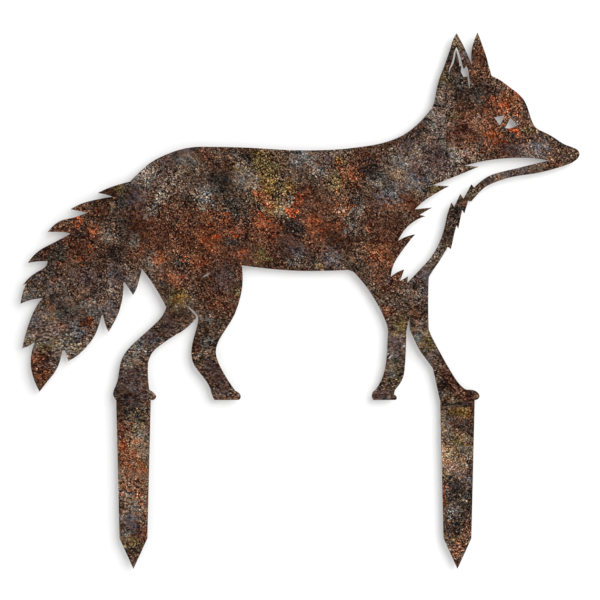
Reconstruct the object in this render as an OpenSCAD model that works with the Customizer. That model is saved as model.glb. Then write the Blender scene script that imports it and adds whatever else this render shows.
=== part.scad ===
// Garden stake: a fox cut from steel sheet, standing on two pointed blades that are pushed into the soil.
//
// Frame: +X towards the nose, +Z up, the display face looks along -Y.
// Origin: ground line (the soles of the paws), midway between the blades, mid thickness of the sheet.

/* [Fox] */
// Height of the ear tips above the ground line
fox_height = 397; // [340:1:800]
// Thickness of the steel sheet of the fox and of both blades
sheet_t = 2; // [1.5:0.5:6]

/* [Ground blades] */
// Length of a blade from the weld seam to its tip
blade_length = 175; // [120:1:300]
// Length of the pointed end of a blade
point_length = 33; // [20:1:60]
// Width of a blade at the weld seam
blade_top_w = 37; // [20:1:37]
// Width of a blade at the shoulder of its point
blade_shoulder_w = 30; // [12:1:36]

/* [Welds] */
// Depth below the ground line of the seams between the paws and the blades
seam_depth = 7.5; // [4:0.5:20]
// Width of a weld bead on the back face
bead_w = 5; // [3:0.5:8]
// Height of a weld bead over the back face
bead_h = 1.2; // [0.6:0.1:2]
// Plain metal left at each end of a weld bead
bead_margin = 1.5; // [0.5:0.5:5]

/* [Hidden] */

$fn = 48;

// The outline below is drawn for this height and grows or shrinks with fox_height
drawn_height = 397;
k = fox_height / drawn_height;

// Centre lines of the two blades
rear_x = -175 * k;
front_x = 175 * k;

// A smooth span is drawn in this many steps, and one more for each step_length of its length
least_steps = 3;
step_length = 8;

// Each stretch of edge starts at a corner and runs smoothly through its points to the start of the next.
// Points are [x, z] in millimetres from the origin, at the drawn height.
back = [
    [[174, 396.5], [170.5, 390], [167.5, 380], [164, 370], [160.5, 360], [156.5, 350], [153.5, 340],
     [151.5, 330], [148.5, 318], [140.5, 307], [128, 294.5], [114, 285], [93.5, 277.5], [59, 272],
     [30, 270], [-5, 270], [-50, 272.5], [-87, 273.5], [-112, 273], [-132.5, 268], [-155.5, 257],
     [-170, 244.5]],
];
tail = [
    [[-178.5, 236], [-190, 233], [-202, 229]],
    [[-213.5, 223.5], [-205, 222]],
    [[-197.5, 219.5], [-215, 216.5], [-230, 212.5]],
    [[-243, 206], [-233, 204]],
    [[-224, 202.5], [-240, 197], [-255, 193]],
    [[-267.5, 181.5], [-256, 181.5], [-248, 181]],
    [[-243, 179.5], [-260, 170.5], [-278, 160.5]],
    [[-289, 148], [-280, 149.5]],
    [[-268, 150], [-269, 145.5]],
    [[-275, 140.5], [-286, 133.5]],
    [[-294.5, 124]],
    [[-290.5, 126], [-294, 118]],
    [[-297, 104], [-286, 108]],
    [[-273, 110], [-280.5, 100], [-288.5, 81]],
    [[-295, 56], [-289, 58]],
    [[-281.5, 63], [-286, 43], [-284, 27]],
    [[-276.5, 9], [-268, 20], [-260, 30], [-255, 40.5]],
    [[-252, 53.5]],
    [[-249.5, 53.5], [-247, 48]],
    [[-245.5, 42], [-237, 47], [-229.5, 53.5], [-222, 62], [-216.5, 70.5], [-212.5, 80.5]],
    [[-209.5, 91.5]],
    [[-208, 92], [-205.5, 82]],
    [[-202, 73.5], [-196, 84], [-191, 94.5], [-187.5, 107], [-186, 118]],
    [[-186, 127]],
    [[-184.5, 127], [-180, 120.5]],
    [[-175.5, 113.5], [-171.5, 121], [-168.5, 131]],
];
hind_legs = [
    [[-166, 141.5], [-154, 125.5]],
    [[-139.5, 100], [-144.5, 90], [-154, 80], [-165, 70], [-176, 60], [-184.5, 50], [-188.5, 41.5],
     [-190.5, 31], [-192.5, 20], [-196, 11], [-197, 6]],
    [[-194, 0]],
    [[-153, 0], [-150.5, 3.5], [-152.5, 7]],
    [[-158, 11], [-159, 20], [-159.5, 33], [-158.5, 43], [-154, 52], [-145.5, 59.5], [-133, 68],
     [-120, 76]],
    [[-108, 87.5], [-107.5, 90], [-109, 92.5], [-112, 95.5], [-115, 99]],
    [[-116, 102], [-113, 99], [-109.5, 96], [-106.5, 92], [-105, 87.5], [-106.5, 79.5], [-109, 70],
     [-111.5, 60], [-112.5, 50], [-110.5, 40], [-104, 30], [-96.5, 20.5], [-92, 12], [-90, 5]],
    [[-87.5, 0]],
    [[-61, 0], [-59, 3.5], [-60.5, 7]],
    [[-65, 10], [-72, 20], [-78, 30], [-83, 40], [-86, 51], [-84.5, 60], [-79.5, 70], [-73, 80],
     [-67, 90], [-62.5, 101], [-58.5, 116], [-57, 130]],
];
belly = [
    [[-58, 145.5], [-40, 143], [-20, 141], [5, 139.5], [30, 139.5]],
    [[57.5, 140.5]],
];
fore_legs = [
    [[62.5, 138.5], [70, 130.5], [80, 117.5], [90, 101], [96, 88.5], [99.5, 78], [99.5, 65],
     [98.5, 47], [96, 31], [90, 16]],
    [[84, 9], [82.5, 5]],
    [[84, 0]],
    [[108.5, 0], [109.5, 3]],
    [[106.5, 6], [107.5, 10.5], [113.5, 18.5], [117, 27], [118.5, 40], [119.5, 60], [120, 75],
     [121.5, 82]],
    [[124, 90], [123, 82]],
    [[123.5, 76], [128.5, 65], [134, 54], [140.5, 45]],
    [[148.5, 34], [151.5, 20.5]],
    [[156, 0]],
    [[195, 0], [198.5, 2.5], [198.5, 6], [195, 9.5], [190, 11], [184, 11.5], [176.5, 18], [166, 34],
     [157, 50], [151.5, 60], [146.5, 70]],
    [[144, 76.5], [143.5, 95], [143.5, 115]],
];
chest = [
    [[144, 132.5], [148.5, 140], [155.5, 150]],
    [[164.5, 165.5]],
    [[168, 163], [170, 172], [172, 181.5]],
    [[174, 188.5]],
    [[176, 185], [178, 195]],
    [[180, 205.5]],
    [[182.5, 201.5]],
    [[186.5, 215]],
    [[190, 214.5], [197, 222.5], [205, 230], [214, 234.5], [225, 238.5], [240, 242], [260, 245],
     [275, 248.5], [290, 253], [299, 256.5], [305, 261]],
];
face = [
    [[307, 265.5], [305, 270], [299, 273], [291, 276]],
    [[285, 279.5], [276, 285.5], [267, 290], [260.5, 293.5], [256.5, 299], [254, 305.5], [252, 312],
     [249.5, 319], [246.5, 324.5], [240.5, 331], [232, 337.5], [221, 345.5]],
];
ears = [
    [[212, 350], [209, 360], [206.5, 370], [203, 380], [199.5, 390]],
    [[196.5, 397], [193.5, 389.5], [191, 381.5], [190, 374], [190, 367]],
    [[191.5, 360.5], [188.5, 366.5], [185, 375], [180, 385.5]],
];
outline = concat(back, tail, hind_legs, belly, fore_legs, chest, face, ears);

throat_window = [
    [[274, 258.5], [263, 260.5], [250, 261.5], [235, 261.5], [220, 260.5], [200, 257.5]],
    [[182.5, 253]],
    [[198, 252], [180, 244.5]],
    [[148.5, 232]],
    [[166, 231], [154, 224.5], [141, 216.5]],
    [[129, 206]],
    [[148, 208]],
    [[134, 200]],
    [[140.5, 198.5], [130, 194], [119, 185]],
    [[111, 172], [120, 176.5]],
    [[129.5, 179], [120, 167.5], [110, 153.5], [105.5, 145]],
    [[103, 133], [110, 138]],
    [[117.5, 141]],
    [[113, 128.5]],
    [[121.5, 133.5]],
    [[121, 126.5], [134.5, 141], [147, 155], [155.5, 170], [160.5, 184.5], [164, 200]],
    [[168.5, 213.5]],
    [[171.5, 208.5]],
    [[178, 222.5]],
    [[181.5, 217.5]],
    [[190, 233]],
    [[193, 229.5], [200, 236], [209, 242], [221, 246], [240, 250.5], [258, 255]],
];
inner_ear = [
    [[174, 381.5], [171.5, 375.5], [170, 368.5], [168, 362], [166, 357.5]],
    [[166, 350.5], [167, 357], [170, 362], [171.5, 367], [172.5, 372.5]],
    [[173.5, 378], [175, 372.5], [176.5, 366.5]],
    [[177, 361]],
    [[179, 360.5]],
    [[178.5, 354.5]],
    [[181.5, 349]],
    [[186, 349.5], [186.5, 343.5]],
    [[188, 336], [188.5, 341], [187.5, 349], [186.5, 357]],
    [[184.5, 361]],
    [[182, 357.5], [180.5, 361.5], [179, 367.5], [176.5, 375.5]],
];
eye_rear = [[[214.5, 305.5]], [[221, 296.5]], [[226, 307.5]]];
eye_front = [[[226.5, 294], [232, 293.5]], [[239.5, 297]], [[232, 305], [229.5, 299.5]]];
thigh_cut = [[[-101, 132.5], [-96, 134]], [[-92, 137.5], [-97, 135.5]]];

// Knot spacing of the span of p that starts at point i: the root of its length, which keeps a smooth
// curve from overshooting where a short span follows a long one
function span(p, i) = sqrt(norm(p[i + 1] - p[i]));

// Slope of the smooth curve through p at point i, from the parabola through it and its neighbours
function slope(p, i) =
    let (last = len(p) - 1)
    i == 0 ? 2 * (p[1] - p[0]) / span(p, 0) - slope(p, 1)
    : i == last ? 2 * (p[last] - p[last - 1]) / span(p, last - 1) - slope(p, last - 1)
    : let (a = span(p, i - 1), b = span(p, i))
      ((p[i] - p[i - 1]) * b / a + (p[i + 1] - p[i]) * a / b) / (a + b);

// Points along the smooth curve through p, except the last one, closer together on short spans
function curve(p) = len(p) == 2 ? [p[0]] : [
    for (i = [0 : len(p) - 2])
        let (d = span(p, i), steps = least_steps + floor(norm(p[i + 1] - p[i]) / step_length))
        for (t = [0 : 1 / steps : 1 - 0.5 / steps])
            (1 + 2 * t) * (1 - t) ^ 2 * p[i] + t * (1 - t) ^ 2 * d * slope(p, i)
            + t ^ 2 * (3 - 2 * t) * p[i + 1] + t ^ 2 * (t - 1) * d * slope(p, i + 1)
];

// All the points of a closed edge made of stretches
function closed_edge(stretches) = k * [
    for (i = [0 : len(stretches) - 1])
        each curve(concat(stretches[i], [stretches[(i + 1) % len(stretches)][0]]))
];

// Stands a flat drawing up in the XZ plane and gives it the thickness of the sheet
module plate() {
    rotate([90, 0, 0]) linear_extrude(sheet_t, center = true) children();
}

// The part of the sheet that reaches below a paw, down to the seam with its blade
module stub(x) {
    // How far the stub reaches up into the paw
    overlap = 3;
    translate([x - blade_top_w / 2, -seam_depth]) square([blade_top_w, seam_depth + overlap]);
}

module fox_panel() {
    color("#4d4038") plate() difference() {
        union() {
            polygon(closed_edge(outline));
            stub(rear_x);
            stub(front_x);
        }
        polygon(closed_edge(throat_window));
        polygon(closed_edge(inner_ear));
        polygon(closed_edge(eye_rear));
        polygon(closed_edge(eye_front));
        polygon(closed_edge(thigh_cut));
    }
}

// A pointed blade that hangs from the seam under a paw
module blade(x) {
    shoulder_z = point_length - blade_length;
    color("#6b5646") plate() translate([x, -seam_depth]) polygon([
        [-blade_top_w / 2, 0],
        [-blade_shoulder_w / 2, shoulder_z],
        [0, -blade_length],
        [blade_shoulder_w / 2, shoulder_z],
        [blade_top_w / 2, 0],
    ]);
}

// A weld bead along a seam on the back face: what stands proud of the sheet on a round bar sunk into it
module weld_bead(x) {
    bead_r = (bead_w ^ 2 / 4 + bead_h ^ 2) / (2 * bead_h);
    bead_l = blade_top_w - 2 * bead_margin;
    color("#54473f") intersection() {
        translate([x, sheet_t / 2 + bead_h - bead_r, -seam_depth]) rotate([0, 90, 0])
            cylinder(r = bead_r, h = bead_l, center = true);
        translate([x - bead_l / 2, sheet_t / 2, -seam_depth - bead_w])
            cube([bead_l, 2 * bead_h, 2 * bead_w]);
    }
}

fox_panel();
blade(rear_x);  // rear_blade
blade(front_x);  // front_blade
weld_bead(rear_x);  // rear_weld
weld_bead(front_x);  // front_weld
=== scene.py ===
"""Looks of the fox garden stake: rusted sheet steel with cut edges and weld beads, in a plain pale studio."""

import math
import random

import bmesh
import bpy
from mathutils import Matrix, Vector


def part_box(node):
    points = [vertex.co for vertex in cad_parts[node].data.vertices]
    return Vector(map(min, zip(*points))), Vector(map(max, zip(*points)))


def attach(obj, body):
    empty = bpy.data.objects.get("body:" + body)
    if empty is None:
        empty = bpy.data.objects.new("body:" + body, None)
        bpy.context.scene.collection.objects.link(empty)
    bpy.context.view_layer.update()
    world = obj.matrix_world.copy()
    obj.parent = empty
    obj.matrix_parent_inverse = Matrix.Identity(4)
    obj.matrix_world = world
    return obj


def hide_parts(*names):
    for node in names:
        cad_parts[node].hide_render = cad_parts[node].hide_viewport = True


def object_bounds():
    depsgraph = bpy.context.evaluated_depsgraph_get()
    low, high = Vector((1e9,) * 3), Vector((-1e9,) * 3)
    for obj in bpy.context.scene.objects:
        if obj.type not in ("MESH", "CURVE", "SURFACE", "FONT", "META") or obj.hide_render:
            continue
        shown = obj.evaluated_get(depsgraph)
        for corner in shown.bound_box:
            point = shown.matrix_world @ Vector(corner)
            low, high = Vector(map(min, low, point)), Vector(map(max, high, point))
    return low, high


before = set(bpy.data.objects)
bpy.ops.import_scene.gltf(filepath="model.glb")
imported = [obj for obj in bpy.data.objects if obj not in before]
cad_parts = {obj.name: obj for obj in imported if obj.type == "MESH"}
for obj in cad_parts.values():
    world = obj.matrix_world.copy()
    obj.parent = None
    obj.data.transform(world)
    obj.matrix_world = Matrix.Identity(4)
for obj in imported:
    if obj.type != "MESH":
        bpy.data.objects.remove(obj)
cad_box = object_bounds()

MM = 0.001

# Picture: what the camera takes in, at the face of the sheet
VIEW_WIDTH = 648 * MM
VIEW_CENTRE_X = 4.9 * MM
VIEW_CENTRE_Z = 108 * MM
LENS = 135
SENSOR = 36

# Stage: a white board close behind the object, and a floor under it
BOARD_GAP = 7 * MM
BOARD_HALF_WIDTH = 0.62
BOARD_TOP = 0.68
BOARD_WHITE = 0.53
BOARD_GLOW = 0.22           # keeps the shadow on the board from getting dark
FLOOR_HALF = 1.6
FLOOR_WHITE = 0.95
FLOOR_DROP = 12 * MM        # how far under the points of the blades it lies

# Lights: one large one from the upper right in front, one behind, and the walls of the studio
KEY_DIRECTION = Vector((0.55, -0.75, 0.45))
KEY_SIZE = 3.0
KEY_POWER = 134
FILL_DIRECTION = Vector((-0.5, 0.75, 0.5))
FILL_SIZE = 2.0
FILL_POWER = 80
LIGHT_DISTANCE = 3.0
WORLD = 0.5

# Widths of the marks that rust makes on the sheet
FINE = 0.7 * MM
GRAIN = 1.2 * MM
SPECK = 1.25 * MM
MOTTLE = 2.0 * MM
CRUMB = 4 * MM
VEINS = 16 * MM
CLOUD = 45 * MM

# How much each kind of mark adds to the lightness and the height of the surface
FINE_DEPTH = 0.9
GRAIN_DEPTH = 1.6           # by chance from grain to grain
ROUND_DEPTH = 2.0           # from the middle of a grain to its border
SPECK_DEPTH = 1.1
MOTTLE_DEPTH = 0.15
CRUMB_DEPTH = 0.45
VEIN_DEPTH = 0.4
CLOUD_DEPTH = 1.9

# Shapes of the marks
RAGGED = 1.1 * MM           # how far the borders of grains are pushed about
VEIN_WIDTH = 0.03           # share of the noise that is vein
DRAWN = 0.6                 # how narrow crumbs and clouds are for their length
STRETCH = 0.55              # how low the drawn out grains of the legs are for their width
STREAKS_FROM = 120 * MM     # height where the grains start to be drawn out
STREAKS_BELOW = 80 * MM     # height where they are fully so
FINEST = 0.55               # how strong the grains are in the calmest zones
COARSEST = 1.45             # and in the coarsest

# Patches and strokes
CORE = 0.25                 # share of a patch's radius that has its full colour
COVER = 0.85                # how much of what lies under a patch it hides there
STROKE_COVER = 0.75         # the same for a stroke
STROKE_CORE = 0.3           # share of its half width that has its full colour
STRAY = 16 * MM             # how far the edges of the patches wander
FRAY = 9 * MM               # how far they are frayed by single crumbs
SCATTER = 4 * MM            # how far single grains stray from the patch they belong to
WOBBLE = 0.35               # how much of the fraying the strokes take part in
WAIT = 1e-9                 # how little the colour before it moves a patch, in metres

# Light and dark
LIT = 0.71                  # brightness of a surface colour, over what it looks like in this light
GREYED_DARK = 0.9           # how far the darkest grains leave the colour they lie in
GREYED_LIGHT = 0.62         # how far the lightest do
DARKEST = 0.09              # red of the darkest hollows; they have less green and blue
WARM = (1.07, 1.0, 0.94, 1)
COOL = (0.93, 1.05, 1.14, 1)
ROUGHEST = 0.92             # in the hollows
SMOOTHEST = 0.6             # on the tops of the grains
GLOSS = 0.06
BUMP = 0.4
BUMP_HEIGHT = 0.2 * MM

# How much less grainy the sheet is in patches of some colours
CALM = {"plum": 0.5, "lilac": 0.4, "bark": 0.2, "drab": 0.1}

# Back and edges of the sheet
BACK_SHIFT = (34 * MM, 0, 16 * MM)  # keeps the back from being a copy of the front
SEAM = -7.5 * MM + BACK_SHIFT[2]  # height of the welds, as the shifted pattern has it
STAIN_WIDTH = 11 * MM
STAIN_COVER = 0.5
CUT = 0.7 * MM              # spacing of the lines that the cutter leaves
CUT_STRETCH = 0.1
CUT_DEPTH = 1.2
CUT_DARK = 0.25
EDGE = 0.25 * MM            # width of the bevel round the rims
MERGE = 0.001 * MM          # points closer than this are one point

# Weld beads
BEAD_HALF_LENGTH = 17 * MM
BEAD_HALF_WIDTH = 2.5 * MM
BEAD_HEIGHT = 1.15 * MM
BEAD_SUNK = 0.05 * MM
BEAD_WANDER = 0.12 * MM     # how far its line strays up and down
BEAD_FACES = (150, 18)      # along and across
RIPPLE = 2.1 * MM           # from one ripple to the next
RIPPLE_BOW = 1.4 * MM       # how far each ripple is bowed
RIPPLE_DEPTH = 0.42         # share of the height
# How dark the painted shade is in the hollows of the weld ripples and at the foot of the bead
RIPPLE_SHADE_DARK = 0.35
SPATTERS = 9
WELD_CLOUD = 9 * MM
WELD_FINE = 1.2 * MM
WELD_COLOURS = {
    "dark_scale": (56, 50, 48),
    "light_scale": (78, 70, 68),
    "heat": (52, 54, 68),
    "rust": (112, 64, 40),
}

# Rust colours as they look in full light, in sRGB from 0 to 255
RUST = {
    "umber": (86, 67, 53),
    "bark": (70, 39, 25),
    "drab": (106, 87, 77),
    "tan": (140, 108, 84),
    "plum": (84, 65, 61),
    "chestnut": (98, 60, 42),
    "maroon": (70, 38, 28),
    "straw": (110, 82, 42),
    "rust": (118, 68, 42),
    "salmon": (126, 86, 72),
    "olive": (93, 76, 42),
    "sand": (136, 114, 88),
    "ash": (112, 101, 92),
    "lilac": (98, 84, 83),
    "steel": (97, 94, 96),
    "dusk": (56, 50, 45),
    "soot": (40, 31, 27),
    "ochre": (138, 102, 42),
    "ember": (146, 74, 43),
    "flame": (206, 82, 36),
    "ice": (157, 156, 152),
    "heat": (52, 50, 58),
    "worn": (126, 82, 56),
    "under": (84, 62, 50),
    "dust": (74, 68, 61),
}

# Patches of each colour on the sheet, in the order they are laid on: x and z of the middle and the
# radius, in mm
SHEET_PATCHES = {
    "bark": [
        (-165, 182, 38), (-135, 178, 44), (-105, 178, 52), (-75, 170, 52), (-45, 178, 36), (-15, 165, 44),
        (18, 185, 46), (48, 178, 34), (12, 215, 22), (192, 325, 36), (-230, 172, 40), (-205, 213, 30),
        (-262, 152, 30), (-85, 125, 34), (72, 258, 30), (-50, 268, 18), (212, 318, 30), (104, 176, 34),
        (-175, 212, 22), (-172, 165, 20), (-112, 148, 26), (200, 372, 20), (182, 295, 20), (-112, 62, 14),
        (78, 205, 24), (-82, 28, 18), (168, 22, 20), (-140, 212, 22), (-80, 240, 18), (130, 206, 16),
        (172, 360, 14), (-225, 120, 14), (8, 205, 18), (-172, 10, 16), (-200, 155, 22), (60, 238, 20),
        (192, 335, 22), (-70, 178, 22), (100, 125, 14), (248, 306, 14), (-30, 252, 16),
    ],
    "drab": [
        (-252, 66, 62), (-285, 85, 32), (-212, 88, 36), (-172, 60, 30), (-290, 62, 36), (160, 288, 32),
        (155, 325, 26), (12, 270, 34), (124, 242, 30), (152, 264, 38), (212, 243, 24), (132, 60, 32),
        (100, 62, 24), (-168, 242, 24), (44, 268, 20), (-195, 128, 22), (-50, 240, 12), (255, 266, 24),
        (228, 264, 16), (150, 305, 18), (188, 270, 13), (-262, 116, 22), (-262, 88, 20), (132, 118, 16),
        (-50, 238, 12), (157, 335, 9), (156, 310, 9), (157, 285, 9),
    ],
    "chestnut": [
        (-255, 188, 20), (-234, 208, 14), (-172, 160, 14), (-163, 196, 18), (-130, 188, 34),
        (-118, 160, 30), (-150, 170, 24), (-100, 185, 26), (-85, 160, 24), (-80, 102, 20), (-66, 155, 16),
        (-128, 132, 22), (-35, 176, 26), (25, 205, 28), (70, 262, 14), (92, 160, 26), (120, 210, 14),
        (100, 135, 22), (225, 270, 24), (200, 300, 30), (180, 285, 22), (280, 254, 14), (235, 320, 26),
        (198, 352, 16), (183, 209, 8), (-273, 24, 18), (-45, 152, 20), (20, 178, 26), (-150, 250, 12),
        (90, 155, 24), (-272, 28, 16), (-100, 165, 34), (-60, 160, 22), (0, 180, 24), (128, 92, 10),
        (-96, 262, 12),
    ],
    "plum": [
        (-175, 220, 22), (-130, 262, 16), (-192, 133, 15), (-76, 132, 22), (108, 62, 14), (236, 272, 18),
        (150, 262, 20), (165, 256, 11), (120, 275, 20), (-92, 36, 14), (-78, 12, 14), (225, 243, 12),
        (205, 236, 9), (143, 120, 10), (125, 250, 16), (-8, 163, 16), (-135, 78, 12), (96, 6, 13),
        (-225, 128, 24), (-172, 12, 20), (-178, 30, 14), (-175, 20, 24), (-175, 0, 20), (-165, 5, 14),
        (98, 8, 14), (-80, 25, 14), (-140, 258, 14), (-118, 266, 12), (-152, 240, 9),
    ],
    "olive": [
        (-40, 262, 18), (-126, 109, 17), (-155, 92, 12), (145, 60, 14), (106, 36, 12), (46, 236, 14),
        (254, 292, 9), (-62, 249, 10), (115, 80, 14), (-60, 115, 8), (156, 345, 12), (150, 230, 10),
        (-35, 155, 12), (-26, 252, 16), (106, 26, 10), (172, 306, 6), (-190, 228, 8),
    ],
    "straw": [
        (-22, 212, 17), (-32, 238, 14), (-8, 232, 13), (-42, 224, 10), (46, 260, 8), (-122, 110, 9),
    ],
    "ash": [
        (-202, 176, 11), (-158, 246, 17), (-116, 256, 13), (-141, 223, 12), (-158, 203, 10),
        (-175, 168, 11), (-97, 222, 14), (-58, 237, 15), (8, 262, 17), (27, 247, 12), (113, 256, 20),
        (150, 302, 13), (176, 266, 13), (175, 344, 12), (-155, 148, 12), (-182, 40, 14), (-98, 62, 11),
        (60, 186, 12), (-95, 88, 9), (-240, 55, 12), (134, 68, 10), (150, 160, 12), (70, 206, 12),
        (-222, 100, 14), (-172, 60, 14), (88, 238, 14), (0, 153, 12), (-128, 240, 10), (-286, 112, 12),
        (-262, 72, 14), (-245, 62, 12), (-172, 128, 12), (-100, 214, 10), (130, 232, 12), (143, 150, 10),
        (104, 32, 13), (-176, 14, 7), (100, 8, 6), (241, 303, 6), (182, 268, 10), (130, 272, 10),
        (-262, 62, 12), (-252, 56, 10),
    ],
    "lilac": [
        (-283, 134, 12), (266, 276, 15), (240, 249, 14), (140, 130, 14), (182, 372, 9), (-170, 216, 9),
        (40, 153, 13), (5, 164, 12), (-154, 66, 11), (33, 264, 9), (-52, 268, 8), (138, 242, 12),
        (-200, 140, 9), (92, 218, 14), (-117, 268, 8), (-178, 118, 10), (-196, 98, 14), (138, 135, 10),
        (228, 246, 9), (-279, 85, 11),
    ],
    "steel": [
        (107, 222, 15), (127, 237, 10), (106, 47, 9), (-238, 76, 11), (6, 266, 9), (-100, 218, 9),
        (-57, 254, 9), (193, 371, 6), (148, 46, 7), (99, 130, 4), (-117, 104, 6), (44, 152, 8),
    ],
    "dusk": [
        (-192, 212, 15), (-263, 141, 13), (-256, 158, 18), (-83, 234, 17), (-68, 210, 15), (-253, 92, 10),
        (-122, 146, 12), (-38, 208, 10), (66, 215, 10), (200, 325, 15), (114, 46, 6), (-66, 168, 11),
        (60, 196, 8), (-90, 64, 5), (152, 8, 10), (-186, 187, 12), (-240, 66, 8), (167, 368, 8),
        (182, 338, 12), (178, 350, 10), (165, 343, 6), (-50, 242, 8),
    ],
    "soot": [
        (-236, 184, 11), (-204, 204, 13), (-196, 157, 15), (-280, 152, 11), (-262, 108, 10),
        (-142, 125, 9), (-116, 217, 9), (-55, 263, 11), (-3, 190, 15), (78, 252, 15), (20, 268, 5),
        (215, 337, 9), (248, 315, 8), (167, 371, 6), (174, 331, 9), (284, 279, 5), (268, 289, 4),
        (172, 200, 17), (167, 178, 10), (158, 20, 8), (138, 96, 7), (-150, 78, 7), (-79, 22, 6),
        (-72, 16, 4), (-270, 47, 11), (63, 136, 4), (20, 156, 9), (127, 126, 6), (228, 283, 5),
        (185, 356, 5), (172, 362, 5), (38, 168, 6), (112, 111, 6), (-131, 194, 7), (-106, 172, 6),
        (162, 280, 5), (141, 292, 5), (143, 303, 4), (155, 318, 5), (161, 266, 4), (131, 290, 4),
        (82, 248, 13), (2, 186, 15), (165, 200, 12), (186, 328, 9), (195, 338, 9), (204, 343, 6),
        (40, 212, 5), (-228, 182, 6), (-145, 246, 6),
    ],
    "maroon": [
        (-271, 44, 10), (-285, 35, 9), (166, 26, 12), (182, 6, 16), (190, -4, 8), (178, 190, 5),
        (38, 143, 6), (70, 256, 7), (163, 38, 6), (182, 292, 12), (172, 285, 9), (-110, 182, 12),
        (-82, 184, 10), (-140, 182, 9), (100, 150, 8), (250, 282, 8), (250, 312, 6), (192, 366, 8),
        (-150, 180, 8), (-60, 165, 7), (-228, 172, 10),
    ],
    "sand": [
        (-285, 60, 9), (-262, 60, 9), (-240, 60, 6), (174, 391, 8), (196, 393, 5), (192, 222, 8),
        (-12, 205, 9), (176, 3, 5), (142, 73, 4), (25, 144, 7), (-178, 37, 7), (-141, 224, 6),
        (113, 242, 7), (54, 204, 6), (177, 268, 6), (-125, 100, 7), (-207, 183, 4), (-125, 246, 5),
        (168, -4, 6), (-156, 240, 6), (190, 222, 8), (-250, 62, 6), (-262, 88, 8), (-245, 70, 7),
        (-232, 60, 6), (188, 270, 6), (166, 272, 5), (-258, 60, 7), (130, 270, 5), (222, 240, 5),
        (190, 262, 6), (162, 278, 5), (-252, 52, 6),
    ],
    "salmon": [
        (-255, 79, 10), (-263, 128, 8), (-60, 186, 8), (-59, 155, 9), (22, 252, 6), (205, 283, 9),
        (-172, 198, 7), (-120, 134, 8), (198, 301, 4), (208, 282, 12), (185, 264, 9), (-262, 74, 7),
        (212, 276, 8), (220, 243, 7),
    ],
    "rust": [
        (-94, 166, 13), (-35, 196, 16), (-35, 220, 12), (46, 184, 9), (60, 244, 12), (-108, 150, 13),
        (-145, 152, 11), (52, 212, 14), (98, 94, 8), (-226, 85, 8), (-266, 101, 7), (223, 322, 15),
        (243, 328, 9), (212, 285, 15), (44, 258, 9), (200, 376, 8), (224, 300, 6), (-95, 200, 11),
        (80, 165, 10), (103, 150, 9), (-132, 132, 8), (190, 276, 6), (-205, 203, 6), (243, 284, 8),
        (100, 207, 8), (22, 190, 12), (-277, 45, 10), (228, 322, 15), (92, 160, 14), (-272, 28, 9),
        (240, 315, 8), (-104, 178, 10), (-84, 170, 9), (-216, 184, 9),
    ],
    "ochre": [
        (-28, 230, 7), (-124, 109, 8), (47, 262, 6), (-60, 248, 5), (27, 143, 3), (-22, 238, 6),
        (108, 15, 4), (-272, 57, 5),
    ],
    "ember": [
        (-234, 194, 8), (-214, 204, 5), (-216, 182, 7), (-243, 167, 5), (-236, 151, 4), (-229, 151, 4),
        (-254, 147, 4), (-222, 84, 5), (-219, 108, 3), (-77, 201, 6), (-86, 206, 4), (-80, 193, 5),
        (-86, 187, 5), (-96, 186, 5), (-64, 182, 7), (-58, 156, 7), (-143, 155, 6), (-120, 157, 5),
        (-102, 148, 7), (-130, 128, 5), (-122, 137, 5), (-40, 223, 6), (-30, 217, 6), (-38, 203, 6),
        (-35, 188, 5), (-28, 189, 5), (-21, 188, 4), (-22, 175, 4), (18, 192, 7), (35, 188, 6),
        (25, 180, 5), (44, 226, 4), (58, 213, 5), (69, 235, 4), (52, 252, 5), (37, 247, 3), (5, 218, 6),
        (10, 223, 4), (-5, 208, 7), (206, 306, 4), (207, 284, 6), (216, 287, 5), (213, 325, 5),
        (226, 318, 6), (243, 328, 5), (236, 334, 4), (227, 300, 4), (191, 275, 4), (95, 94, 4),
        (-88, 160, 5), (80, 188, 4), (48, 200, 5), (63, 244, 5), (85, 157, 5), (203, 268, 3),
        (213, 283, 7), (-100, 172, 6), (-72, 190, 6), (206, 278, 6), (222, 281, 5), (-68, 182, 4),
        (-54, 184, 3),
    ],
    "flame": [
        (-221, 163, 3), (-237, 193, 4), (-89, 173, 5), (-66, 179, 3), (-2, 206, 6), (4, 215, 4),
        (235, 291, 4), (239, 291, 3), (-25, 188, 3), (-75, 201, 3), (226, 319, 3),
    ],
    "ice": [
        (-98, 217, 5), (-99, 204, 3), (-5, 215, 4), (-55, 253, 3), (-48, 233, 4), (-219, 114, 2),
        (197, 306, 3), (54, 206, 3), (102, 48, 3), (172, 266, 4), (-143, 224, 3), (8, 262, 4),
        (267, 275, 3),
    ],
    "tan": [(220, 241, 8), (-230, 120, 8), (-200, 210, 8)],
}


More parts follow.
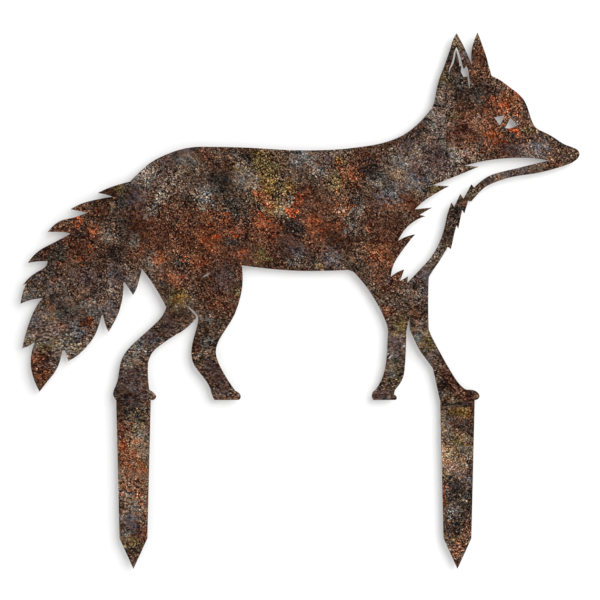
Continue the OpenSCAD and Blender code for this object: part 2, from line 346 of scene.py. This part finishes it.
BLADE_PATCHES = {
    "tan": [
        (-175, -50, 34), (-175, -80, 30), (-172, -118, 30), (-178, -145, 20), (168, -62, 26),
        (184, -60, 24), (172, -72, 20), (176, -14, 16), (158, -90, 7), (159, -112, 7), (160, -128, 7),
        (-165, -100, 16), (-170, -30, 10), (162, -150, 8),
    ],
    "drab": [
        (-176, -13, 18), (-165, -16, 12), (-164, -38, 11), (-172, -122, 14), (-186, -146, 10),
        (159, -20, 9), (159, -38, 8), (180, -56, 12), (170, -118, 12),
    ],
    "chestnut": [
        (-188, -34, 14), (-180, -68, 14), (-170, -98, 12), (-164, -145, 14), (178, -28, 14),
        (168, -30, 9), (184, -134, 12), (176, -150, 14), (159, -100, 7), (-176, -78, 13),
    ],
    "plum": [
        (-178, -132, 12), (-170, -142, 9), (158, -60, 7), (176, -92, 12), (168, -140, 9), (160, -140, 7),
    ],
    "olive": [
        (-172, -14, 9), (-166, -24, 8), (176, -44, 10), (160, -80, 7), (159, -112, 5), (172, -148, 7),
        (-176, -158, 8), (158, -24, 6),
    ],
    "straw": [
        (184, -13, 8), (172, -12, 6), (-170, -28, 7), (168, -57, 9), (-166, -70, 6), (182, -46, 6),
        (-176, -154, 6),
    ],
    "ash": [
        (-163, -38, 7), (-170, -113, 8), (-185, -146, 7), (182, -56, 8), (171, -118, 8), (186, -50, 5),
        (-184, -99, 6), (-175, -126, 8), (172, -40, 5), (163, -30, 9),
    ],
    "lilac": [
        (-180, -136, 10), (-172, -132, 8), (-181, -102, 5), (182, -80, 8), (172, -70, 7), (-164, -112, 5),
    ],
    "steel": [(184, -87, 7), (168, -122, 6), (-184, -126, 5), (178, -28, 5)],
    "dusk": [
        (-180, -10, 9), (-170, -18, 6), (170, -90, 14), (184, -100, 13), (168, -104, 13), (174, -130, 12),
        (186, -30, 8), (170, -138, 8),
    ],
    "soot": [
        (-186, -113, 8), (-176, -166, 8), (-190, -104, 4), (166, -88, 6), (186, -114, 11), (178, -104, 8),
        (164, -106, 6), (176, -126, 7), (188, -34, 6), (174, -24, 4), (-162, -48, 3), (166, -150, 4),
        (188, -124, 6),
    ],
    "maroon": [
        (175, -172, 10), (-165, -160, 6), (188, -24, 7), (-190, -40, 5), (166, -160, 5), (-168, -134, 5),
    ],
    "sand": [
        (-166, -26, 5), (170, -56, 7), (172, -62, 4), (181, -108, 4), (-164, -44, 5), (-180, -52, 5),
        (-172, -98, 4), (-184, -152, 5), (-174, -160, 4), (174, -72, 8), (168, -46, 4), (184, -42, 4),
        (188, -60, 8), (161, -32, 5), (184, -66, 7), (192, -56, 6),
    ],
    "salmon": [
        (172, -74, 9), (166, -66, 6), (175, -160, 9), (-165, -106, 7), (-176, -88, 6), (159, -62, 4),
    ],
    "rust": [
        (-190, -16, 6), (-188, -50, 9), (-178, -60, 7), (-166, -76, 8), (-184, -94, 7), (-166, -110, 7),
        (-163, -140, 7), (160, -94, 5), (184, -134, 6), (176, -162, 7), (188, -144, 5), (190, -12, 5),
        (-182, -72, 7), (-186, -44, 6),
    ],
    "ochre": [(182, -12, 4), (-164, -68, 3)],
    "ember": [
        (-190, -46, 4), (-186, -52, 5), (-181, -58, 4), (-174, -63, 4), (-166, -70, 4), (-164, -78, 4),
        (-163, -84, 5), (-188, -104, 3), (-164, -105, 4), (-161, -110, 3), (-172, -124, 4),
        (-162, -122, 3), (160, -95, 3), (-184, -30, 4), (-178, -27, 3), (-170, -45, 3),
    ],
    "ice": [
        (-184, -126, 4), (-187, -98, 3), (-182, -103, 2), (188, -64, 3), (170, -118, 3), (-164, -112, 2),
        (-188, -148, 3), (165, -53, 2),
    ],
}


# Cracks, dashes and light streaks: x and z of both ends and the width, in mm
SHEET_STROKES = {
    "drab": [(159.5, 346, 159.5, 262, 3.5)],
    "ash": [(-163, 196, -141, 226, 3), (-66, 268, -42, 236, 3.5), (10, 262, 30, 246, 3)],
    "soot": [
        (158, 282, 166, 279, 1.5), (137, 294, 145, 291, 1.5), (140, 304, 147, 302, 1.3),
        (151, 322, 159, 316, 1.6), (158, 267, 165, 265, 1.3), (128, 291, 135, 289, 1.3),
        (157, 297, 162, 292, 1.3), (150, 283, 155, 281, 1.2), (163, 345, 163, 320, 1.2),
        (163.5, 312, 163.5, 262, 1.3), (266, 289, 284, 280, 2), (284, 280, 298, 273, 2),
        (246, 324, 253, 304, 1.8), (-207, 187, -180, 172, 1.2), (56, 142, 67, 132, 1.4),
        (20, 186, 44, 196, 1.2), (-96, 262, -80, 250, 1.2), (160, -4.5, 190, -4.5, 2.4),
    ],
    "sand": [
        (-72, 264, -50, 234, 1.3), (-64, 264, -42, 236, 1.2), (-22, 202, -3, 214, 2.5),
        (-112, 226, -98, 206, 2),
    ],
    "ember": [
        (222, 343, 232, 337, 1.3), (236, 333, 244, 326, 1.5), (-46, 226, -28, 208, 2.5),
        (-46, 190, -22, 187, 2), (-48, 204, -34, 200, 2),
    ],
    "flame": [(231, 292, 240, 291, 1.8)],
}
BLADE_STROKES = {
    "tan": [(159, -12, 159.5, -80, 3)],
    "rust": [(160, -90, 161, -114, 2.5)],
    "straw": [(168, -13, 188, -15, 5)],
    "soot": [(-172, -20, -162, -24, 1.4), (168, -108, 178, -112, 1.4), (186, -66, 192, -74, 2)],
    "sand": [(164, -50, 174, -64, 1.8), (178, -105, 186, -111, 1.4), (-172, -26, -163, -30, 1.4)],
    "ember": [(-190, -50, -178, -58, 1.6), (-178, -60, -164, -70, 1.4), (-190, -62, -170, -76, 1.8)],
    "ash": [(-171, -27, -160, -38, 2.2), (-186, -120, -172, -128, 2)],
}


def shown(rgb):
    """An sRGB colour given in whole numbers up to 255, from 0 to 1 and as steep as it looks."""
    return (*(c / 255 for c in rgb), 1)


class Graph:
    """Short calls for building the nodes of one material."""

    def __init__(self, name, tree=None):
        if tree is None:
            self.material = bpy.data.materials.new(name)
            self.material.use_nodes = True
            tree = self.material.node_tree
            tree.nodes.clear()
        self.tree = tree

    def node(self, kind, inputs=(), **settings):
        made = self.tree.nodes.new(kind)
        for key, value in settings.items():
            setattr(made, key, value)
        for key, value in dict(inputs).items():
            if isinstance(value, bpy.types.NodeSocket):
                self.tree.links.new(value, made.inputs[key])
            else:
                made.inputs[key].default_value = value
        return made

    def math(self, operation, *values):
        return self.node("ShaderNodeMath", enumerate(values), operation=operation).outputs[0]

    def vector(self, operation, *values):
        made = self.node("ShaderNodeVectorMath", enumerate(values), operation=operation)
        return made.outputs["Value" if operation in ("DISTANCE", "DOT_PRODUCT") else "Vector"]

    def scaled(self, vector, factor):
        inputs = {"Vector": vector, "Scale": factor}
        return self.node("ShaderNodeVectorMath", inputs, operation="SCALE").outputs["Vector"]

    def step(self, value, start, end, low=0.0, high=1.0):
        """Runs smoothly from low to high as value goes from start to end."""
        inputs = {"Value": value, "From Min": start, "From Max": end, "To Min": low, "To Max": high}
        return self.node("ShaderNodeMapRange", inputs, interpolation_type="SMOOTHSTEP").outputs[0]

    def mix(self, factor, a, b, blend="MIX"):
        made = self.node("ShaderNodeMix", {0: factor, 6: a, 7: b}, data_type="RGBA", blend_type=blend)
        return made.outputs[2]

    def between(self, factor, a, b):
        return self.node("ShaderNodeMix", {0: factor, 2: a, 3: b}).outputs[0]

    def grey(self, value):
        return self.node("ShaderNodeCombineColor", {0: value, 1: value, 2: value}).outputs[0]

    def noise(self, place, width, detail=2.0, roughness=0.5):
        """Noise whose widest marks are about width wide: its value around 0.5, and its colour."""
        inputs = {"Vector": place, "Scale": 1 / width, "Detail": detail, "Roughness": roughness}
        return self.node("ShaderNodeTexNoise", inputs).outputs

    def cells(self, place, width):
        """Three random numbers from 0 to 1 for each grain of about the width given, and the way to its
        middle.
        """
        made = self.node("ShaderNodeTexVoronoi", {"Vector": place, "Scale": 1 / width}).outputs
        split = self.node("ShaderNodeSeparateColor", {0: made["Color"]}).outputs
        return (*split, made["Distance"])


def patch_group():
    """A node that lays one round patch, which fades from its core to its radius, over the cover below it."""
    g = Graph(None, bpy.data.node_groups.new("patch", "ShaderNodeTree"))
    for socket, kind in (("Place", "Vector"), ("Middle", "Vector"), ("Radius", "Float"), ("Below", "Float")):
        g.tree.interface.new_socket(socket, in_out="INPUT", socket_type="NodeSocket" + kind)
    g.tree.interface.new_socket("Cover", in_out="OUTPUT", socket_type="NodeSocketFloat")
    given = g.node("NodeGroupInput").outputs
    far = g.vector("DISTANCE", given["Place"], given["Middle"])
    core = g.math("MULTIPLY", given["Radius"], CORE)
    total = g.math("MAXIMUM", given["Below"], g.step(far, given["Radius"], core))
    g.node("NodeGroupOutput", {"Cover": total})
    return g.tree


def cover(g, place, marks):
    """How much of a place the marks cover, from 0 to 1."""
    total = 0.0
    for x, z, radius in marks:
        inputs = {"Place": place, "Middle": (x * MM, 0, z * MM), "Radius": radius * MM, "Below": total}
        total = g.node("ShaderNodeGroup", inputs, node_tree=PATCH).outputs[0]
    return total


def stroke_group():
    """A node that lays one straight stroke with soft sides over the cover that is there already."""
    g = Graph(None, bpy.data.node_groups.new("stroke", "ShaderNodeTree"))
    for socket, kind in (("Place", "Vector"), ("Start", "Vector"), ("End", "Vector"),
                         ("Width", "Float"), ("Below", "Float")):
        g.tree.interface.new_socket(socket, in_out="INPUT", socket_type="NodeSocket" + kind)
    g.tree.interface.new_socket("Cover", in_out="OUTPUT", socket_type="NodeSocketFloat")
    given = g.node("NodeGroupInput").outputs
    along = g.vector("SUBTRACT", given["End"], given["Start"])
    out = g.vector("SUBTRACT", given["Place"], given["Start"])
    share = g.math("DIVIDE", g.vector("DOT_PRODUCT", out, along), g.vector("DOT_PRODUCT", along, along))
    share = g.math("MINIMUM", g.math("MAXIMUM", share, 0.0), 1.0)
    far = g.vector("DISTANCE", out, g.scaled(along, share))
    core = g.math("MULTIPLY", given["Width"], STROKE_CORE)
    total = g.math("MAXIMUM", given["Below"], g.step(far, given["Width"], core))
    g.node("NodeGroupOutput", {"Cover": total})
    return g.tree


def stroked(g, place, strokes):
    """How much of a place the strokes cover, from 0 to 1."""
    total = 0.0
    for x0, z0, x1, z1, width in strokes:
        total = g.node("ShaderNodeGroup", {
            "Place": place, "Start": (x0 * MM, 0, z0 * MM), "End": (x1 * MM, 0, z1 * MM),
            "Width": width * MM, "Below": total,
        }, node_tree=STROKE).outputs[0]
    return total


def rusted_steel(name, patches, strokes, slant, streaks):
    """Patches of rust with clouds, crumbs and grains in them, drawn out along a slant in degrees.

    Low down, the grains are drawn out sideways, by as much as streaks says.
    """
    g = Graph(name)
    texture = g.node("ShaderNodeTexCoord").outputs
    backward = g.node("ShaderNodeSeparateXYZ", {0: texture["Normal"]}).outputs[1]
    back = g.math("GREATER_THAN", backward, 0.5)
    place = g.vector("ADD", texture["Object"], g.scaled(BACK_SHIFT, back))
    turn = {"Vector": place, "Axis": (0, 1, 0), "Angle": math.radians(slant)}
    turned = g.node("ShaderNodeVectorRotate", turn).outputs[0]
    flow = g.vector("MULTIPLY", turned, (DRAWN, 1, 1))
    cloud, cloud_colour = g.noise(flow, CLOUD, 5.0, 0.9)
    crumb, crumb_colour = g.noise(flow, CRUMB, 2.0, 0.6)

    centred = (0.5, 0.5, 0.5)
    stray = g.scaled(g.vector("SUBTRACT", cloud_colour, centred), 2 * STRAY)
    fray = g.scaled(g.vector("SUBTRACT", crumb_colour, centred), 2 * FRAY)
    mottle_cell = g.node("ShaderNodeTexVoronoi", {"Vector": flow, "Scale": 1 / MOTTLE}).outputs["Color"]
    scatter = g.scaled(g.vector("SUBTRACT", mottle_cell, centred), 2 * SCATTER)
    strayed = g.vector("ADD", g.vector("ADD", place, stray), g.vector("ADD", fray, scatter))
    strayed = g.vector("MULTIPLY", strayed, (1, 0, 1))

    colour = g.mix(g.step(cloud, 0.4, 0.6), shown(RUST["umber"]), shown(RUST["under"]))
    calm = 1.0
    for tint, marks in patches.items():
        # A colour waits for the one before it, because the shader can't hold all the patches at once
        after = g.vector("MULTIPLY_ADD", colour, (WAIT, WAIT, WAIT), strayed)
        covered = g.math("MULTIPLY", cover(g, after, marks), COVER)
        colour = g.mix(covered, colour, shown(RUST[tint]))
        if tint in CALM:
            calm = g.math("MULTIPLY", calm, g.math("MULTIPLY_ADD", covered, -CALM[tint], 1.0))

    wobbled = g.vector("MULTIPLY", g.vector("MULTIPLY_ADD", fray, (WOBBLE,) * 3, place), (1, 0, 1))
    for tint, marks in strokes.items():
        after = g.vector("MULTIPLY_ADD", colour, (WAIT, WAIT, WAIT), wobbled)
        covered = g.math("MULTIPLY", stroked(g, after, marks), STROKE_COVER)
        colour = g.mix(covered, colour, shown(RUST[tint]))

    # Round the welds the back is stained by the heat, and rims are worn down to bright rust
    height = g.node("ShaderNodeSeparateXYZ", {0: place}).outputs[2]
    seam = g.math("ABSOLUTE", g.math("SUBTRACT", height, SEAM))
    stain = g.math("MULTIPLY", g.step(seam, STAIN_WIDTH, STAIN_WIDTH / 3), back)
    colour = g.mix(g.math("MULTIPLY", stain, STAIN_COVER), colour, shown(RUST["heat"]))
    # The faces have 1 here, the cut walls have 0, and the bevelled rims lie between
    facing = g.math("ABSOLUTE", backward)
    rim = g.step(facing, 0.97, 0.85)
    wall = g.step(facing, 0.5, 0.2)
    worn = g.math("MULTIPLY", rim, g.step(crumb, 0.44, 0.6, 0.1, 0.8))
    colour = g.mix(worn, colour, shown(RUST["worn"]))

    # Warm and cool crumbs
    channels = g.node("ShaderNodeSeparateColor", {0: crumb_colour}).outputs
    warmth = g.step(channels[1], 0.3, 0.7)
    warm = g.mix(1.0, colour, WARM, "MULTIPLY")
    cool = g.mix(1.0, colour, COOL, "MULTIPLY")
    colour = g.mix(warmth, cool, warm)

    # Grains with ragged borders, drawn out sideways low down, and coarser in some zones than in others
    streaked = g.step(height, STREAKS_FROM, STREAKS_BELOW, 0.0, streaks)
    drawn_out = g.vector("MULTIPLY", place, (STRETCH, 1, 1))
    fine, fine_colour = g.noise(place, FINE, 2.0, 0.6)
    ragged = g.scaled(g.vector("SUBTRACT", fine_colour, centred), RAGGED)
    grains = [g.cells(g.vector("ADD", where, ragged), GRAIN) for where in (place, drawn_out)]
    grain = g.between(streaked, grains[0][0], grains[1][0])
    round_grain = g.between(streaked, grains[0][3], grains[1][3])
    mottle = g.node("ShaderNodeSeparateColor", {0: mottle_cell}).outputs[1]
    channels = g.node("ShaderNodeSeparateColor", {0: cloud_colour}).outputs
    coarseness = g.math("MULTIPLY", g.step(channels[2], 0.35, 0.65, FINEST, COARSEST), calm)
    grain = g.math("MULTIPLY_ADD", g.math("SUBTRACT", grain, 0.5), coarseness, 0.5)
    round_grain = g.math("MULTIPLY_ADD", g.math("SUBTRACT", round_grain, 0.5), coarseness, 0.5)
    speck_cell = g.cells(g.vector("ADD", place, ragged), SPECK)[2]
    speck = g.math("MULTIPLY", g.step(speck_cell, 0.9, 1.0), coarseness)

    # Thin dark veins along the slant
    veins, _ = g.noise(flow, VEINS, 3.0, 0.65)
    vein = g.step(g.math("ABSOLUTE", g.math("SUBTRACT", veins, 0.5)), VEIN_WIDTH, 0.0)

    # All marks together, from dark hollows to light tops. The cut walls have lines as well
    relief = g.math("MULTIPLY", speck, SPECK_DEPTH)
    relief = g.math("MULTIPLY_ADD", vein, -VEIN_DEPTH, relief)
    for value, strength in ((grain, GRAIN_DEPTH), (round_grain, -ROUND_DEPTH), (mottle, MOTTLE_DEPTH),
                            (crumb, CRUMB_DEPTH), (cloud, CLOUD_DEPTH)):
        relief = g.math("ADD", relief, g.math("MULTIPLY", g.math("SUBTRACT", value, 0.5), strength))
    greyed = g.step(relief, -0.3, 0.3, GREYED_DARK, GREYED_LIGHT)
    relief = g.math("MULTIPLY_ADD", g.math("SUBTRACT", fine, 0.5), FINE_DEPTH, relief)
    lines, _ = g.noise(g.vector("MULTIPLY", texture["Object"], (1, CUT_STRETCH, 1)), CUT, 2.0, 0.5)
    cut = g.math("MULTIPLY_ADD", g.math("SUBTRACT", lines, 0.5), CUT_DEPTH, -CUT_DARK)
    relief = g.math("MULTIPLY_ADD", cut, wall, relief)
    tinted = g.mix(greyed, colour, shown(RUST["dust"]))
    seen = g.vector("MULTIPLY_ADD", tinted, g.grey(relief), colour)
    seen = g.scaled(g.vector("MAXIMUM", seen, (DARKEST, DARKEST * 0.65, DARKEST * 0.5)), LIT)
    base = g.node("ShaderNodeGamma", {0: seen, 1: 2.2}).outputs[0]

    rough = g.step(relief, -1.0, 1.0, ROUGHEST, SMOOTHEST)
    bump = g.node("ShaderNodeBump", {"Strength": BUMP, "Distance": BUMP_HEIGHT, "Height": relief})
    shader = g.node("ShaderNodeBsdfPrincipled", {
        "Base Color": base, "Roughness": rough, "Specular IOR Level": GLOSS, "Normal": bump.outputs[0],
    })
    g.node("ShaderNodeOutputMaterial", {"Surface": shader.outputs[0]})
    return g.material


def use(piece, material):
    piece.data.materials.clear()
    piece.data.materials.append(material)


def plain(name, white, glow=0.0, one_sided=False):
    """A matt stage surface. A one-sided one can be seen through from behind."""
    g = Graph(name)
    shader = g.node("ShaderNodeBsdfDiffuse", {"Color": (white, white, white, 1)}).outputs[0]
    if glow:
        light = g.node("ShaderNodeEmission", {"Strength": glow}).outputs[0]
        shader = g.node("ShaderNodeAddShader", {0: shader, 1: light}).outputs[0]
    if one_sided:
        behind = g.node("ShaderNodeNewGeometry").outputs["Backfacing"]
        clear = g.node("ShaderNodeBsdfTransparent").outputs[0]
        shader = g.node("ShaderNodeMixShader", {0: behind, 1: shader, 2: clear}).outputs[0]
    g.node("ShaderNodeOutputMaterial", {"Surface": shader})
    return g.material


def stage_sheet(name, corners, material):
    """A flat stage piece with the corners given."""
    mesh = bpy.data.meshes.new(name)
    mesh.from_pydata(corners, [], [range(len(corners))])
    piece = bpy.data.objects.new(name, mesh)
    bpy.context.scene.collection.objects.link(piece)
    use(piece, material)
    return piece


def stage():
    low, high = cad_box
    back = high.y + BOARD_GAP
    down = low.z - FLOOR_DROP
    board = stage_sheet("board", [
        (-BOARD_HALF_WIDTH, back, down), (BOARD_HALF_WIDTH, back, down),
        (BOARD_HALF_WIDTH, back, BOARD_TOP), (-BOARD_HALF_WIDTH, back, BOARD_TOP),
    ], plain("board_white", BOARD_WHITE, BOARD_GLOW, one_sided=True))
    board.visible_shadow = False
    board.visible_diffuse = False
    board.visible_glossy = False
    stage_sheet("floor", [
        (-FLOOR_HALF, -FLOOR_HALF, down), (FLOOR_HALF, -FLOOR_HALF, down),
        (FLOOR_HALF, FLOOR_HALF, down), (-FLOOR_HALF, FLOOR_HALF, down),
    ], plain("floor_white", FLOOR_WHITE))


def lights():
    world = bpy.data.worlds.new("studio")
    bpy.context.scene.world = world
    world.use_nodes = True
    background = world.node_tree.nodes["Background"]
    background.inputs["Color"].default_value = (1, 1, 1, 1)
    # The walls of the studio look white, and give only a soft light
    paths = world.node_tree.nodes.new("ShaderNodeLightPath")
    strength = world.node_tree.nodes.new("ShaderNodeMapRange")
    strength.inputs["To Min"].default_value = WORLD
    strength.inputs["To Max"].default_value = 1.0
    world.node_tree.links.new(paths.outputs["Is Camera Ray"], strength.inputs["Value"])
    world.node_tree.links.new(strength.outputs[0], background.inputs["Strength"])
    soft_light("key", KEY_DIRECTION, KEY_SIZE, KEY_POWER)
    soft_light("fill", FILL_DIRECTION, FILL_SIZE, FILL_POWER)


def soft_light(name, direction, size, power):
    """A round soft light that shines on the middle of the object."""
    light = bpy.data.lights.new(name, "AREA")
    light.shape = "DISK"
    light.size = size
    light.energy = power
    holder = bpy.data.objects.new(name, light)
    middle = (cad_box[0] + cad_box[1]) / 2
    holder.location = middle + direction.normalized() * LIGHT_DISTANCE
    holder.rotation_euler = (-direction).to_track_quat("-Z", "Y").to_euler()
    bpy.context.scene.collection.objects.link(holder)


def camera():
    data = bpy.data.cameras.new("camera")
    data.lens = LENS
    data.sensor_width = SENSOR
    holder = bpy.data.objects.new("camera", data)
    distance = VIEW_WIDTH * LENS / SENSOR
    holder.location = (VIEW_CENTRE_X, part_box("fox_panel")[0].y - distance, VIEW_CENTRE_Z)
    holder.rotation_euler = (math.pi / 2, 0, 0)
    bpy.context.scene.collection.objects.link(holder)
    bpy.context.scene.camera = holder


def rims_group():
    """A modifier that joins the faces of a cut sheet and marks the rims of its front and back."""
    g = Graph(None, bpy.data.node_groups.new("rims", "GeometryNodeTree"))
    for direction in ("INPUT", "OUTPUT"):
        g.tree.interface.new_socket("Geometry", in_out=direction, socket_type="NodeSocketGeometry")
    sheet = g.node("NodeGroupInput").outputs[0]
    joined = g.node("GeometryNodeMergeByDistance", {"Geometry": sheet, "Distance": MERGE}).outputs[0]
    clean = g.node("GeometryNodeRemoveAttribute", {"Geometry": joined, "Name": "custom_normal"}).outputs[0]
    ends = g.node("GeometryNodeInputMeshEdgeVertices").outputs
    along = g.vector("SUBTRACT", ends["Position 2"], ends["Position 1"])
    through = g.math("ABSOLUTE", g.node("ShaderNodeSeparateXYZ", {0: along}).outputs[1])
    angle = g.node("GeometryNodeInputMeshEdgeAngle").outputs["Unsigned Angle"]
    rim = g.math("MULTIPLY", g.math("LESS_THAN", through, MERGE), g.math("GREATER_THAN", angle, 1.0))
    marked = g.node("GeometryNodeStoreNamedAttribute", {
        "Geometry": clean, "Name": "bevel_weight_edge", "Value": rim,
    }, data_type="FLOAT", domain="EDGE").outputs[0]
    flat = g.node("GeometryNodeSetShadeSmooth", {"Geometry": marked, "Shade Smooth": False}).outputs[0]
    g.node("NodeGroupOutput", {0: flat})
    return g.tree


def round_rims(piece):
    """Breaks the sharp rims round the front and back of a cut sheet."""
    piece.modifiers.new("rims", "NODES").node_group = RIMS
    bevel = piece.modifiers.new("rounded", "BEVEL")
    bevel.limit_method = "WEIGHT"
    bevel.width = EDGE
    bevel.segments = 2
    bevel.use_clamp_overlap = False


def bead(name, replaced, seed):
    """A weld bead with its ripples laid over one another like coins, and a few drops of spatter round it."""
    low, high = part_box(replaced)
    chance = random.Random(seed)
    middle = (low + high) / 2
    along, across = BEAD_FACES
    points = []
    ripple_shades = []
    for i in range(along + 1):
        u = 2 * i / along - 1
        taper = (1 - abs(u) ** 6) ** 0.5
        wander = BEAD_WANDER * math.sin(9 * u + seed)
        half = BEAD_HALF_WIDTH * taper * (0.94 + 0.06 * math.sin(31 * u + seed))
        for j in range(across + 1):
            v = math.sin(math.pi / 2 * (2 * j / across - 1))
            x = u * BEAD_HALF_LENGTH
            phase = (x + RIPPLE_BOW * v * v) / RIPPLE % 1
            crown = max(1 - v * v, 0) ** 0.5 * taper * (1 - RIPPLE_DEPTH * phase ** 2)
            y = low.y - BEAD_SUNK + BEAD_HEIGHT * crown
            # Painted shade for the weld's colour: strongest deep in the trough behind each ripple and down
            # the sides of the bead to its foot
            ripple_shades.append(max(phase ** 3, v ** 8))
            points.append((middle.x + x, y, middle.z + wander + half * v))
    row = across + 1
    faces = [(i * row + j, (i + 1) * row + j, (i + 1) * row + j + 1, i * row + j + 1)
             for i in range(along) for j in range(across)]
    faces += [(i * row, i * row + across, (i + 1) * row + across, (i + 1) * row) for i in range(along)]
    mesh = bpy.data.meshes.new(name)
    mesh.from_pydata(points, [], faces)
    built = bmesh.new()
    built.from_mesh(mesh)
    layer = built.verts.layers.float.new("ripple_shade")
    for vert, value in zip(built.verts, ripple_shades):
        vert[layer] = value
    bmesh.ops.remove_doubles(built, verts=built.verts, dist=MERGE)
    for _ in range(SPATTERS):
        radius = chance.uniform(0.25, 0.6) * MM
        side = chance.choice((-1, 1))
        spot = Vector((middle.x + chance.uniform(-0.95, 0.95) * BEAD_HALF_LENGTH, low.y,
                       middle.z + side * (BEAD_HALF_WIDTH + chance.uniform(0.6, 5) * MM)))
        drop = bmesh.ops.create_icosphere(built, subdivisions=2, radius=radius)["verts"]
        bmesh.ops.scale(built, vec=(1, 0.6, 1), verts=drop)
        bmesh.ops.translate(built, vec=spot, verts=drop)
    bmesh.ops.recalc_face_normals(built, faces=built.faces)
    built.to_mesh(mesh)
    for face in mesh.polygons:
        face.use_smooth = True
    piece = bpy.data.objects.new(name, mesh)
    bpy.context.scene.collection.objects.link(piece)
    use(piece, WELD)
    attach(piece, "root")
    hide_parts(replaced)


def weld_metal():
    """Dark scaly steel with heat colours and patches of rust, and painted shade in the hollows of its ripples
    and at its foot.
    """
    g = Graph("weld_metal")
    place = g.node("ShaderNodeTexCoord").outputs["Object"]
    cloud, cloud_colour = g.noise(place, WELD_CLOUD, 3.0, 0.6)
    fine, _ = g.noise(place, WELD_FINE, 3.0, 0.7)
    scale = g.step(cloud, 0.4, 0.62)
    colour = g.mix(scale, shown(WELD_COLOURS["dark_scale"]), shown(WELD_COLOURS["light_scale"]))
    heat = g.step(g.node("ShaderNodeSeparateColor", {0: cloud_colour}).outputs[1], 0.5, 0.65)
    colour = g.mix(g.math("MULTIPLY", heat, 0.5), colour, shown(WELD_COLOURS["heat"]))
    rust = g.step(g.math("ADD", fine, g.math("MULTIPLY", cloud, 0.5)), 0.78, 0.62)
    colour = g.mix(g.math("MULTIPLY", rust, 0.8), colour, shown(WELD_COLOURS["rust"]))
    # Painted shade read from the bead's mesh, darkest in the hollows of the ripples and at the bead's foot,
    # laid over a random lightness from the fine noise
    ripple_shade = g.node("ShaderNodeAttribute", attribute_name="ripple_shade").outputs["Fac"]
    tone_and_ripple_shade = g.math("MULTIPLY_ADD", ripple_shade, -RIPPLE_SHADE_DARK, g.step(fine, 0.25, 0.75, 0.6, 1.3))
    seen = g.scaled(g.mix(1.0, colour, g.grey(tone_and_ripple_shade), "MULTIPLY"), LIT)
    base = g.node("ShaderNodeGamma", {0: seen, 1: 2.2}).outputs[0]
    rough = g.step(fine, 0.3, 0.7, 0.45, 0.75)
    bump = g.node("ShaderNodeBump", {"Strength": 0.5, "Distance": 0.15 * MM, "Height": fine})
    shader = g.node("ShaderNodeBsdfPrincipled", {
        "Base Color": base, "Roughness": rough, "Specular IOR Level": 0.3, "Normal": bump.outputs[0],
    })
    g.node("ShaderNodeOutputMaterial", {"Surface": shader.outputs[0]})
    return g.material


PATCH = patch_group()
STROKE = stroke_group()
RIMS = rims_group()
WELD = weld_metal()

camera()
lights()
stage()
bpy.context.scene.view_settings.view_transform = "Standard"

sheet = rusted_steel("rusted_sheet", SHEET_PATCHES, SHEET_STROKES, slant=-35, streaks=0.8)
blade = rusted_steel("rusted_blade", BLADE_PATCHES, BLADE_STROKES, slant=-30, streaks=0.0)
for name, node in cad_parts.items():
    use(node, sheet if name == "fox_panel" else blade)
for name in ("fox_panel", "rear_blade", "front_blade"):
    round_rims(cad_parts[name])
bead("rear_bead", "rear_weld", 3)
bead("front_bead", "front_weld", 8)
